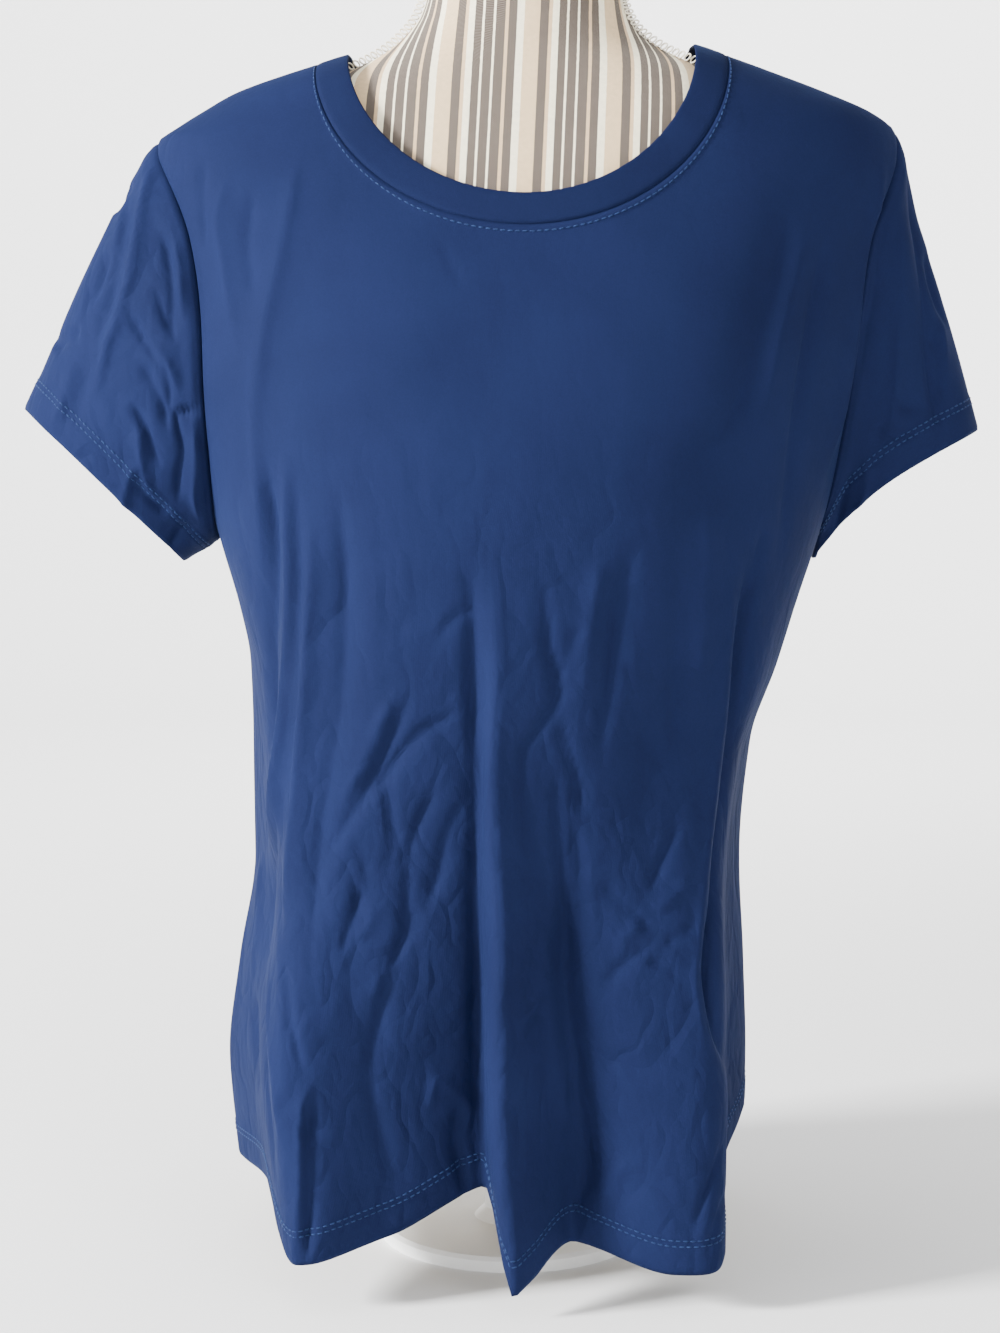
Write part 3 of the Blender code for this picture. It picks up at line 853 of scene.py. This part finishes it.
def makeSleeve(side, cuff, material):
    grid = sleeveGrid(side, cuff)
    if side == "right":
        grid = grid[:, ::-1]
    down = lengthsDown(grid)
    toCuff = down[-1] - down
    uv = np.stack([lengthsAcross(grid, True), np.concatenate([toCuff, toCuff[:, :1]], 1)], -1)
    centre = grid.mean(1, keepdims=True)
    normal = normalsOf(grid, True)
    if (normal * (grid - centre)).sum() < 0:
        normal = -normal
    moved = creaseDepths(grid, cuff["creases"])
    moved += sum(wavesOf(grid, *wave) for wave in sleeveWaves)
    moved *= smooth(np.minimum(down / (7 * mm), (toCuff + 12 * mm) / (16 * mm)))
    crown = 1.2 * mm * np.exp(-(((down - 9 * mm) / (7 * mm)) ** 2))  # fullness beside the armhole
    grid = grid + normal * (moved + crown + seamShape(down) + hemShape(toCuff))[..., None]
    # The seam allowance, tucked under the body's panels.
    tuck, step = 3 * mm, grid[1:2] - grid[:1]
    step /= np.linalg.norm(step, axis=-1, keepdims=True)
    grid = np.concatenate([grid[:1] - step * tuck - normal[:1] * 1.2 * mm, grid])
    toCuff = np.concatenate([toCuff[:1] + tuck, toCuff])
    uv = np.concatenate([uv[:1] + np.array([0, tuck]), uv])
    piece = gridPiece(cuff["name"], grid, True, uv, material)
    thicken(piece, shirt["clothThick"], smooth((shirt["hemDeep"] + 2 * mm - toCuff) / (1 * mm)))
    return piece, grid, toCuff


sleeveRight, sleeveRightGrid, sleeveRightUp = makeSleeve("right", sleeves["right"], navyJersey)
sleeveLeft, sleeveLeftGrid, sleeveLeftUp = makeSleeve("left", sleeves["left"], navyJersey)
print("stage: sleeves")

band = {"thick": 1.8 * mm, "rows": 10, "foldSteps": 6, "flat": (0.70, 0.018)}


def bandGrid():
    # Rings from the seam up the outside, over the folded edge and down the inside.
    frontAcross = panelColumns(frontPanel["columns"]) / shirt["neckAcross"]
    frontAcross = frontAcross[np.abs(frontAcross) <= 1 + 1e-9]
    backAcross = panelColumns(backPanel["columns"]) / shirt["neckAcross"]
    backAcross = backAcross[np.abs(backAcross) < 1 - 1e-6][::-1]
    seam, edge = [], []
    for face, across in (("front", np.clip(frontAcross, -1, 1)), ("back", backAcross)):
        seam.append(pointAt(face, *neckline(shirt["neckSeam"], face, across)))
        edge.append(pointAt(face, *neckline(shirt["bandEdge"], face, across)))
    seam, edge = np.concatenate(seam), np.concatenate(edge)
    rise = np.linspace(0, 1, band["rows"])[:, None, None]
    outer = seam + (edge - seam) * rise
    normal = normalsOf(outer, True)
    centre = outer.mean((0, 1))
    if (normal * (outer - centre)).sum() < 0:
        normal = -normal
    deep = 0.45 * seamShape(lengthsDown(outer)) + 0.35 * mm * np.sin(math.pi * np.clip(rise[..., 0], 0, 1))
    outer = outer + normal * deep[..., None]
    half = band["thick"] / 2
    inner = outer - normal * 2 * half
    way = outer[-1] - outer[-2]
    way /= np.linalg.norm(way, axis=-1, keepdims=True)
    middle = (outer[-1] + inner[-1]) / 2
    fold = []
    for turn in np.linspace(0, math.pi, band["foldSteps"] + 2)[1:-1]:
        fold.append(middle + normal[-1] * half * math.cos(turn) + way * half * math.sin(turn))
    return np.concatenate([outer, np.array(fold), inner[::-1]]), outer


bandRings, bandOuter = bandGrid()
bandCorners = (len(bandRings) + 1, bandRings.shape[1] + 1)
bandAcross = np.linspace(0, 2 * band["flat"][1], bandCorners[0])[:, None]
bandAlong = lengthsAcross(bandRings, True).mean(0)
bandUv = np.stack([np.broadcast_to(bandAlong, bandCorners), np.broadcast_to(bandAcross, bandCorners)], -1)
neckband = gridPiece("neckbandCloth", bandRings, True, bandUv, bandJersey, loop=True)
print("stage: neckband", round(float(lengthsAcross(bandOuter, True)[0, -1]), 3))

stitch = {
    "long": 2.6 * mm,
    "gap": 1.1 * mm,
    "thick": 0.36 * mm,
    "proud": 0.12 * mm,
    "sides": 6,
    "rings": ((-0.5, 0.35), (-0.3, 1.0), (0.3, 1.0), (0.5, 0.35)),  # where along it, and how thick
    "fromNeck": 4.2 * mm,
}


def stitchRow(line, normal, closed=False):
    # One small round-ended bar for each stitch along a line on the cloth.
    if closed:
        line, normal = np.concatenate([line, line[:1]]), np.concatenate([normal, normal[:1]])
    lengths = lengthsAlong(line)
    points, faces = [], []
    sides, last = stitch["sides"], len(stitch["rings"]) - 1
    for start in np.arange(stitch["gap"], lengths[-1] - stitch["long"], stitch["long"] + stitch["gap"]):
        ends = [pointAlong(line, lengths, start + t) for t in (0, stitch["long"])]
        along = (ends[1] - ends[0]) / np.linalg.norm(ends[1] - ends[0])
        out = pointAlong(normal, lengths, start + stitch["long"] / 2)
        out -= along * (out @ along)
        out /= np.linalg.norm(out)
        side = np.cross(along, out)
        middle = (ends[0] + ends[1]) / 2 + out * stitch["proud"]
        first = len(points)
        for place, size in stitch["rings"]:
            sunk = out * (-0.5 * stitch["thick"] if size < 1 else 0)
            for k in range(sides):
                turn = 2 * math.pi * k / sides
                spoke = side * math.cos(turn) + out * math.sin(turn)
                points.append(middle + along * place * stitch["long"] + sunk + stitch["thick"] * size * spoke)
        for ring in range(last):
            for k in range(sides):
                a, b = first + ring * sides + k, first + ring * sides + (k + 1) % sides
                faces.append((a, b, b + sides, a + sides))
        faces.append(tuple(first + k for k in range(sides))[::-1])
        faces.append(tuple(first + last * sides + k for k in range(sides)))
    return points, faces


def stitchPiece(name, rows):
    points, faces = [], []
    for found, joined in rows:
        faces += [tuple(index + len(points) for index in face) for face in joined]
        points += found
    return joinedPiece(name, points, faces, threadMaterial)


def outwardNormals(grid, ring):
    normal = normalsOf(grid, ring)
    middle = np.array([shirt["middle"], 0.0, grid[..., 2].mean()])
    aim = grid - (grid.mean(1, keepdims=True) if ring else middle)
    return normal if (normal * aim).sum() > 0 else -normal


def hemStitches(grid, up, ring):
    normal = outwardNormals(grid, ring)
    rows = []
    for fromEdge in (shirt["hemDeep"], shirt["hemDeep"] - shirt["rowGap"]):
        rows.append(stitchRow(rowAt(grid, up, fromEdge), rowAt(normal, up, fromEdge), ring))
    return rows


bodyStitches = stitchPiece(
    "hemStitches", hemStitches(frontGrid, frontUp, False) + hemStitches(backGrid, backUp, False)
)
sleeveStitches = stitchPiece(
    "cuffStitches",
    hemStitches(sleeveRightGrid[::-1], sleeveRightUp[::-1], True)
    + hemStitches(sleeveLeftGrid[::-1], sleeveLeftUp[::-1], True),
)


def neckStitches():
    # One row round the neck, a little below the band's seam.
    rows = []
    for grid, up, panel in ((frontGrid, frontUp, frontPanel), (backGrid, backUp, backPanel)):
        columns = panelColumns(panel["columns"])
        inNeck = np.abs(columns) <= shirt["neckAcross"] + 1e-9
        top, fromSeam = grid[::-1, inNeck], (up[-1] - up)[::-1, inNeck]
        normal = outwardNormals(grid, False)[::-1, inNeck]
        low = stitch["fromNeck"]
        rows.append(stitchRow(rowAt(top, fromSeam, low), rowAt(normal, fromSeam, low)))
    return rows


neckRow = stitchPiece("neckStitches", neckStitches())
print("stage: stitches")

# The dress form under the shirt, covered in striped linen.
form = {
    "around": 144,
    "step": 3 * mm,
    "foot": 52 * mm,
    "top": 699.7 * mm,
    "neckMiddle": 7 * mm,  # how far the neck's middle is to the wearer's left
}
formSections = table(
    "height right left front back",
    [
        (52, -112, 106, 70, 92),
        (60, -122, 112, 78, 98),
        (110, -128, 114, 86, 102),
        (217, -115, 104, 88, 90),
        (279, -118, 110, 96, 92),
        (330, -130, 130, 114, 98),
        (392, -151, 157, 126, 104),
        (430, -157, 166, 125, 108),
        (470, -163, 172, 119, 110),
        (510, -168, 180, 108, 109),
        (550, -174, 187, 95, 102),
        (576, -176, 190, 85, 92),
        (590, -176, 193, 80, 87),
        (600, -173, 191, 75.5, 82.5),
        (606, -166, 187, 73, 79.5),
        (614, -155, 177, 70, 75),
        (623, -139, 156, 66.5, 70.5),
        (631.5, -116, 133, 63, 66),
        (639.5, -91, 111, 59.5, 61.5),
        (645, -78, 96, 57, 59),
        (650, -69, 85, 55, 57),
        (659, -58, 72, 53, 54),
        (669, -50, 65, 51, 51),
        (680, -46, 61, 49, 48),
        (699.7, -44, 58, 47, 45),
    ],
)


def formRing(heights, turn):
    # turn is 0 at the middle of the front, and grows to the wearer's left
    heights, turn = np.meshgrid(heights, turn, indexing="ij")
    angle = np.arcsin(np.clip(np.sin(turn), -1, 1))
    ahead = sectionPoint(formSections, "front", angle, heights)
    behind = sectionPoint(formSections, "back", angle, heights)
    return np.where((np.cos(turn) >= 0)[..., None], ahead, behind)


def stripePlace(grid):
    # How far across the linen each point is, from the middle of its front, which leans a little.
    lengths = lengthsAcross(grid, True)
    half = lengths[:, -1:] / 2
    flat = np.where(lengths > half, lengths - 2 * half, lengths)
    middle = 6.9 * mm + 0.05 * (grid[:, :1, 2] - 600 * mm)
    return flat + grid[:, :1, 0] - middle


linen = {
    "repeat": 44 * mm,  # one full run of stripes
    "colours": {
        "cream": (0.93, 0.86, 0.64),
        "tan": (0.64, 0.46, 0.26),
        "pale": (0.62, 0.43, 0.24),
        "brown": (0.048, 0.031, 0.024),
    },
    # the stripes of one run: how wide each is, against the others, and its colour
    "stripes": "4.1 tan, 4.8 brown, 1.9 pale, 3.5 cream, 4.2 brown, 1.2 cream, 4.8 brown, "
    "1.2 cream, 5.0 brown, 1.8 pale, 4.4 brown, 3.8 cream, 4.1 tan",
    "wander": 0.4 * mm,  # how unevenly the edges of the stripes run
    "thread": 0.62 * mm,
    "twill": 1.1 * mm,
    "twillTint": (0.80, 0.72, 0.60),
    "threadHigh": 0.12 * mm,
}


def linenMaterial():
    # Ticking: cream, tan and brown-grey stripes by the thread, in a fine twill.
    made, shader = newMaterial(
        "stripedLinen", 0.85, specular=0.2, sheen=0.15, sheenTint=(1.0, 0.95, 0.85)
    )
    flat = addNode(made, "ShaderNodeUVMap", uv_map="UVMap").outputs[0]
    place = addNode(made, "ShaderNodeTexCoord").outputs["Object"]
    split = addNode(made, "ShaderNodeSeparateXYZ", {0: flat}).outputs
    uneven = doMath(made, "SUBTRACT", noiseOn(made, place, 400.0), 0.5)
    wander = doMath(made, "MULTIPLY", uneven, linen["wander"])
    run = doMath(made, "DIVIDE", doMath(made, "ADD", split[0], wander), linen["repeat"])
    run = doMath(made, "FRACT", doMath(made, "ADD", run, 10.0))
    widths = [stripe.split() for stripe in linen["stripes"].split(",")]
    total = sum(float(width) for width, _ in widths)
    order, before = [], 0.0
    for width, colour in widths:
        order.append((before / total, linen["colours"][colour]))
        before += float(width)
    stripes = rampOf(made, run, order, "CONSTANT")
    warp, weft = (
        doMath(made, "SINE", doMath(made, "MULTIPLY", way, 2 * math.pi / linen["thread"]))
        for way in (split[0], split[1])
    )
    slant = doMath(made, "ADD", split[0], split[1])
    twill = doMath(made, "SINE", doMath(made, "MULTIPLY", slant, 2 * math.pi / linen["twill"]))
    weave = doMath(made, "MULTIPLY", warp, weft)
    speck = rangeOf(made, twill, (-1.0, 1.0), (0.0, 0.16))
    threads = mixColours(made, speck, stripes, linen["twillTint"])
    slub = rangeOf(made, noiseOn(made, place, 420.0, 3.0), (0.0, 1.0), (0.82, 1.12))
    scaled = {0: threads, "Scale": slub}
    coloured = addNode(made, "ShaderNodeVectorMath", scaled, operation="SCALE").outputs[0]
    plugIn(made, coloured, shader, "Base Color")
    height = doMath(made, "ADD", weave, doMath(made, "MULTIPLY", twill, 0.6))
    addBump(made, shader, height, 0.35, linen["threadHigh"])
    return made


heights = np.append(np.arange(form["foot"], form["top"], form["step"]), form["top"])
turns = np.linspace(0, 2 * math.pi, form["around"] + 1)[:-1]
torsoGrid = formRing(heights, turns)
torsoDown = lengthsDown(torsoGrid)
torsoUv = np.stack([stripePlace(torsoGrid), np.concatenate([torsoDown, torsoDown[:, :1]], 1)], -1)
torso = gridPiece("torsoLinen", torsoGrid, True, torsoUv, linenMaterial(), caps=True)
print("stage: dress form")

braid = {
    "loopLong": 4.2 * mm,
    "loopWide": 2.3 * mm,
    "loopSteps": 14,
    "cord": 0.46 * mm,
    "pitch": 3.5 * mm,
    "from": 699 * mm,
    "to": 636 * mm,
    "turn": {"right": -84, "left": 62},  # degrees round from the middle of the front
    "tilt": 20,  # degrees
    "out": 2.5 * mm,  # from the linen to the middle of a loop
    "dip": 0.6 * mm,
}


def addTube(points, faces, path, normal, thick, sides=6):
    # A closed loop of cord.
    first, count = len(points), len(path)
    for k in range(count):
        along = path[(k + 1) % count] - path[k - 1]
        along /= np.linalg.norm(along)
        side = np.cross(along, normal)
        side /= np.linalg.norm(side)
        up = np.cross(side, along)
        for s in range(sides):
            turn = 2 * math.pi * s / sides
            points.append(path[k] + thick * (side * math.cos(turn) + up * math.sin(turn)))
        here, ahead = first + k * sides, first + (k + 1) % count * sides
        for s in range(sides):
            beside = (s + 1) % sides
            faces.append((here + s, here + beside, ahead + beside, ahead + s))


def braidPiece(material):
    # A row of crocheted loops down each side of the neck, standing out from it and facing forward.
    points, faces = [], []
    toFront = np.array([0, -1, 0])
    tilt = math.radians(braid["tilt"])
    for degrees in braid["turn"].values():
        levels = np.linspace(braid["from"], braid["to"], 160)
        line, beside = (formRing(levels, np.array([math.radians(degrees + more)]))[:, 0] for more in (0, 2))
        lengths = lengthsAlong(line)
        for start in np.arange(0, lengths[-1], braid["pitch"]):
            here = pointAlong(line, lengths, start)
            ahead = pointAlong(line, lengths, min(start + 1 * mm, lengths[-1]))
            along = ahead - pointAlong(line, lengths, max(start - 1 * mm, 0))
            along /= np.linalg.norm(along)
            across = pointAlong(beside, lengths, start) - here
            out = np.cross(along, across)
            out *= np.sign(out @ (here - np.array([form["neckMiddle"], 0, here[2]]))) / np.linalg.norm(out)
            stand = np.cross(along, toFront)
            stand *= np.sign(stand @ out) / np.linalg.norm(stand)
            long = stand * math.cos(tilt) + along * math.sin(tilt)
            short = along * math.cos(tilt) - stand * math.sin(tilt)
            centre = here + out * braid["out"]
            ring = []
            for turn in 2 * math.pi * np.arange(braid["loopSteps"]) / braid["loopSteps"]:
                lift = np.array([0, -braid["dip"] * math.sin(turn), 0])
                reach = long * math.cos(turn) * braid["loopLong"] / 2
                ring.append(centre + reach + short * math.sin(turn) * braid["loopWide"] / 2 + lift)
            addTube(points, faces, np.array(ring), toFront, braid["cord"])
    return joinedPiece("neckBraid", points, faces, material)


cotton, cottonShader = newMaterial("creamCotton", 0.8, specular=0.25, sheen=0.2)
cottonPlace = addNode(cotton, "ShaderNodeTexCoord").outputs["Object"]
cottonTone = noiseOn(cotton, cottonPlace, 500.0, 3.0)
cottonColours = [(0.3, (0.78, 0.72, 0.58)), (0.7, (0.94, 0.90, 0.78))]
plugIn(cotton, rampOf(cotton, cottonTone, cottonColours), cottonShader, "Base Color")
addBump(cotton, cottonShader, noiseOn(cotton, cottonPlace, 2600.0), 0.4, 0.15 * mm)
neckBraid = braidPiece(cotton)
print("stage: braid")

wood, woodShader = newMaterial("capWood", 0.42, specular=0.45)
woodPlace = addNode(wood, "ShaderNodeTexCoord").outputs["Object"]
woodStretch = addNode(wood, "ShaderNodeMapping", {"Vector": woodPlace, "Scale": (14.0, 150.0, 60.0)})
woodGrain = noiseOn(wood, woodStretch.outputs[0], 1.0, 6.0)
woodColours = [(0.3, (0.12, 0.055, 0.022)), (0.55, (0.27, 0.14, 0.065)), (0.8, (0.37, 0.21, 0.10))]
plugIn(wood, rampOf(wood, woodGrain, woodColours), woodShader, "Base Color")
addBump(wood, woodShader, woodGrain, 0.2, 0.2 * mm)

paint, paintShader = newMaterial("footPaint", 0.4)
paintPlace = addNode(paint, "ShaderNodeTexCoord").outputs["Object"]
paintTone = noiseOn(paint, paintPlace, 30.0, 4.0)
paintColours = [(0.3, (0.84, 0.84, 0.83)), (0.7, (0.90, 0.90, 0.89))]
plugIn(paint, rampOf(paint, paintTone, paintColours), paintShader, "Base Color")
addBump(paint, paintShader, noiseOn(paint, paintPlace, 900.0), 0.12, 0.1 * mm)
for node, material in (("form_neck_cap", wood), ("form_foot", paint)):
    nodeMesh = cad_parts[node].data
    nodeMesh.materials.clear()
    nodeMesh.materials.append(material)

# Which body each piece rides on, and which solid it stands for and hides.
for piece, node, slotName in (
    (front, "front", "navy_jersey"),
    (back, "back", "navy_jersey"),
    (sleeveRight, "sleeve_right", "navy_jersey"),
    (sleeveLeft, "sleeve_left", "navy_jersey"),
    (neckband, "neckband", "navy_rib"),
    (torso, "form_torso", "striped_linen"),
):
    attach(piece, "root")
    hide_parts(node)
for piece in (bodyStitches, sleeveStitches, neckRow, neckBraid):
    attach(piece, "root")

studio = {
    "wall": (0.88, 0.88, 0.88),
    "radius": 3.6,
    "high": 1.6,
    "bend": 1.2,
    "bendSteps": 12,
    "around": 96,
}


def studioPiece():
    # A round pale floor that curves up into a wall.
    profile = [(0.0001, 0.0), (0.6, 0.0), (1.4, 0.0)]  # the first ring is merged to one point below
    flatEnd = studio["radius"] - studio["bend"]
    for turn in np.linspace(0, math.pi / 2, studio["bendSteps"] + 1):
        profile.append((flatEnd + studio["bend"] * math.sin(turn), studio["bend"] * (1 - math.cos(turn))))
    profile.append((studio["radius"], studio["high"]))
    turns = np.linspace(0, 2 * math.pi, studio["around"] + 1)[:-1]
    rings = np.array([[(r * math.cos(t), r * math.sin(t), z) for t in turns] for r, z in profile])
    made, shader = newMaterial("studioPaint", 0.9, specular=0.1)
    shader.inputs["Base Color"].default_value = (*studio["wall"], 1)
    flat = np.zeros((len(rings), len(turns) + 1, 2))
    piece = gridPiece("studioFloor", rings[:, ::-1], True, flat, made)
    makeActive(piece)
    bpy.ops.object.mode_set(mode="EDIT")
    bpy.ops.mesh.select_all(action="SELECT")
    bpy.ops.mesh.remove_doubles(threshold=0.001)
    bpy.ops.object.mode_set(mode="OBJECT")
    return piece


floor = studioPiece()

lights = [
    # name, place, aimed at, size, power
    ("keyLight", (-2.6, -1.0, 1.5), (0, 0, 0.42), 0.6, 360),
    ("fillLight", (1.3, -2.5, 1.7), (0, 0, 0.50), 1.0, 26),
    ("topLight", (-0.3, 0.2, 2.8), (0, 0, 0.35), 1.2, 20),
    ("backLight", (0.4, 1.6, 1.9), (0, 3.2, 0.80), 1.6, 90),
]
for lightName, place, aim, size, power in lights:
    bpy.ops.object.light_add(type="AREA", location=place)
    light = bpy.context.object
    light.name = lightName
    light.data.size = size
    light.data.energy = power
    light.rotation_euler = (Vector(aim) - Vector(place)).to_track_quat("-Z", "Y").to_euler()
world = bpy.data.worlds.new("studioAir")
bpy.context.scene.world = world
world.use_nodes = True
world.node_tree.nodes["Background"].inputs["Color"].default_value = (1.0, 1.0, 1.0, 1)
world.node_tree.nodes["Background"].inputs["Strength"].default_value = 1.0

view = {"place": (-0.0066, -1.35, 0.4614), "pitch": 84, "lens": 66.3}
bpy.ops.object.camera_add(location=view["place"], rotation=(math.radians(view["pitch"]), 0, 0))
camera = bpy.context.object
camera.name = "mainCamera"
camera.data.sensor_width = 36
camera.data.lens = view["lens"]
bpy.context.scene.camera = camera
